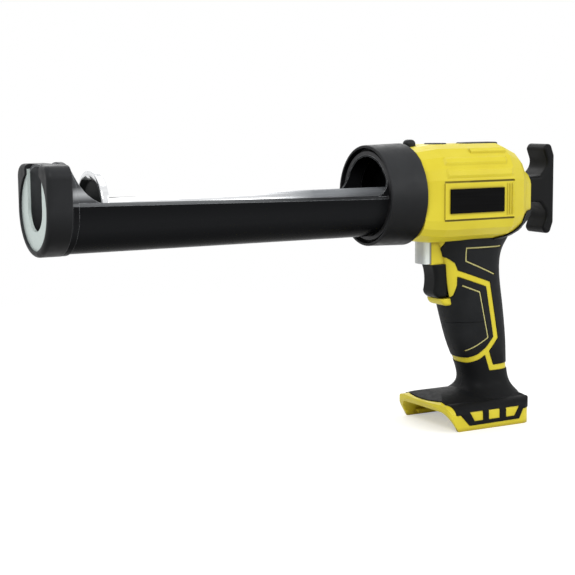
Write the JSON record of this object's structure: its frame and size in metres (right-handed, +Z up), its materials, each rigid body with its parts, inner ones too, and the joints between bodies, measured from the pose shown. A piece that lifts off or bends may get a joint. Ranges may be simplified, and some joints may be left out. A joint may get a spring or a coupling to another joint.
{
  "type": "cordless caulking tool",
  "caption": "Hand-held cordless caulking tool with a half-open cartridge cradle, rack-driven push rod, T-shaped pull handle, trigger grip and a slide-on battery dock.",
  "frame": {"origin": "on the push rod's axis, in the plane of the collar's front rim, where the cartridge's rear ends", "axes": "+X along the push rod towards the pull handle, +Z up, +Y to the tool's right"},
  "size_m": [0.3858, 0.0694, 0.2],
  "materials": {
    "yellow_plastic": "satin",
    "black_rubber": "matte",
    "black_plate": "satin",
    "black_plastic": "satin",
    "black_paint": "gloss",
    "grey_flange": "satin",
    "pale_metal": "satin",
    "bright_steel": "polished",
    "steel": "satin",
    "cast_aluminium": "cast",
    "bronze": "satin",
    "magnet": "matte",
    "lens": "clear",
    "circuit_board": "satin",
    "wire_cover": "satin"
  },
  "bodies": {
    "housing": {"left_housing": "yellow_plastic", "right_housing": "yellow_plastic", "left_grip_cover": "black_rubber", "right_grip_cover": "black_rubber", "left_plate": "black_plate", "right_plate": "black_plate", "housing_screws": "steel", "nose_ring": "cast_aluminium", "nose_screws": "steel", "front_bush": "bronze", "rear_bush": "bronze", "gear_frame": "cast_aluminium", "pinion_bearings": "steel", "output_bearing": "steel", "gearbox_case": "cast_aluminium", "motor_can": "steel", "motor_magnets": "magnet", "motor_cap": "black_plastic", "switch_body": "black_plastic", "trigger_spring": "steel", "lamp_lens": "lens", "lamp_board": "circuit_board", "dial_sensor": "black_plastic", "release_spring": "steel", "latch_spring": "steel", "control_board": "circuit_board", "board_parts": "black_plastic", "wires": "wire_cover", "terminal_block": "black_plastic", "terminal_blades": "bronze"},
    "collar": {"lock_collar": "black_plastic"},
    "cradle": {"cradle_tube": "black_paint", "cradle_flange": "grey_flange", "front_cap": "black_plastic", "front_plate": "pale_metal"},
    "push_rod": {"rack_rod": "bright_steel", "plunger_disc": "bright_steel", "plunger_screw": "steel", "pull_handle": "black_plastic", "handle_pin": "steel"},
    "pinion": {"rack_pinion": "steel", "pinion_shaft": "steel", "reduction_gear": "steel"},
    "carrier": {"planet_carrier": "steel", "planet_pins": "steel", "output_gear": "steel"},
    "planet_1": {"planet_gear_1": "steel"},
    "planet_2": {"planet_gear_2": "steel"},
    "planet_3": {"planet_gear_3": "steel"},
    "rotor": {"sun_gear": "steel", "motor_shaft": "steel", "armature": "steel"},
    "trigger_body": {"trigger": "black_plastic"},
    "dial": {"speed_dial": "black_plastic"},
    "release": {"release_button": "black_plastic"},
    "latch": {"collar_latch": "black_plastic"}
  },
  "joints": [
    {"name": "rod_slide", "type": "slide", "parent": "housing", "child": "push_rod", "axis": [1, 0, 0], "range_m": [0, 0.205]},
    {"name": "pinion_spin", "type": "hinge", "parent": "housing", "child": "pinion", "pos_m": [0.0736, 0.01256, 0], "axis": [0, 0, 1], "range_deg": [0, 1307]},
    {"name": "carrier_spin", "type": "hinge", "parent": "housing", "child": "carrier", "pos_m": [0.0905, 0, 0], "axis": [0, 0, 1], "range_deg": [-2352, 0]},
    {"name": "rotor_spin", "type": "hinge", "parent": "housing", "child": "rotor", "pos_m": [0.0905, 0, 0], "axis": [0, 0, 1], "range_deg": [-10582, 0]},
    {"name": "planet_1_spin", "type": "hinge", "parent": "carrier", "child": "planet_1", "pos_m": [0.09725, 0, 0], "axis": [0, 0, 1], "range_deg": [0, 6585]},
    {"name": "planet_2_spin", "type": "hinge", "parent": "carrier", "child": "planet_2", "pos_m": [0.08712, 0.00585, 0], "axis": [0, 0, 1], "range_deg": [0, 6585]},
    {"name": "planet_3_spin", "type": "hinge", "parent": "carrier", "child": "planet_3", "pos_m": [0.08712, -0.00585, 0], "axis": [0, 0, 1], "range_deg": [0, 6585]},
    {"name": "collar_turn", "type": "hinge", "parent": "housing", "child": "collar", "pos_m": [0.014, 0, 0], "axis": [1, 0, 0], "range_deg": [0, 60]},
    {"name": "cradle_turn", "type": "hinge", "parent": "housing", "child": "cradle", "pos_m": [0.007, 0, 0], "axis": [1, 0, 0], "continuous": true},
    {"name": "trigger_pull", "type": "slide", "parent": "housing", "child": "trigger_body", "axis": [1, 0, 0], "range_m": [0, 0.006], "stiffness_N_per_m": 600, "springref_m": -0.003, "deforming": ["trigger_spring"]},
    {"name": "dial_turn", "type": "hinge", "parent": "housing", "child": "dial", "pos_m": [0.057, 0, 0.034], "axis": [0, 0, 1], "range_deg": [0, 270]},
    {"name": "release_press", "type": "slide", "parent": "housing", "child": "release", "axis": [0, 0, -1], "range_m": [0, 0.0025], "stiffness_N_per_m": 500, "springref_m": -0.004, "deforming": ["release_spring"]},
    {"name": "latch_press", "type": "slide", "parent": "housing", "child": "latch", "axis": [0, 0, -1], "range_m": [0, 0.002], "stiffness_N_per_m": 500, "springref_m": -0.004, "deforming": ["latch_spring"]}
  ],
  "couplings": [
    {"joint": "pinion_spin", "follows": "rod_slide", "rad_per_m": 111.11},
    {"joint": "carrier_spin", "follows": "rod_slide", "rad_per_m": -200},
    {"joint": "rotor_spin", "follows": "rod_slide", "rad_per_m": -900},
    {"joint": "planet_1_spin", "follows": "rod_slide", "rad_per_m": 560},
    {"joint": "planet_2_spin", "follows": "rod_slide", "rad_per_m": 560},
    {"joint": "planet_3_spin", "follows": "rod_slide", "rad_per_m": 560}
  ]
}
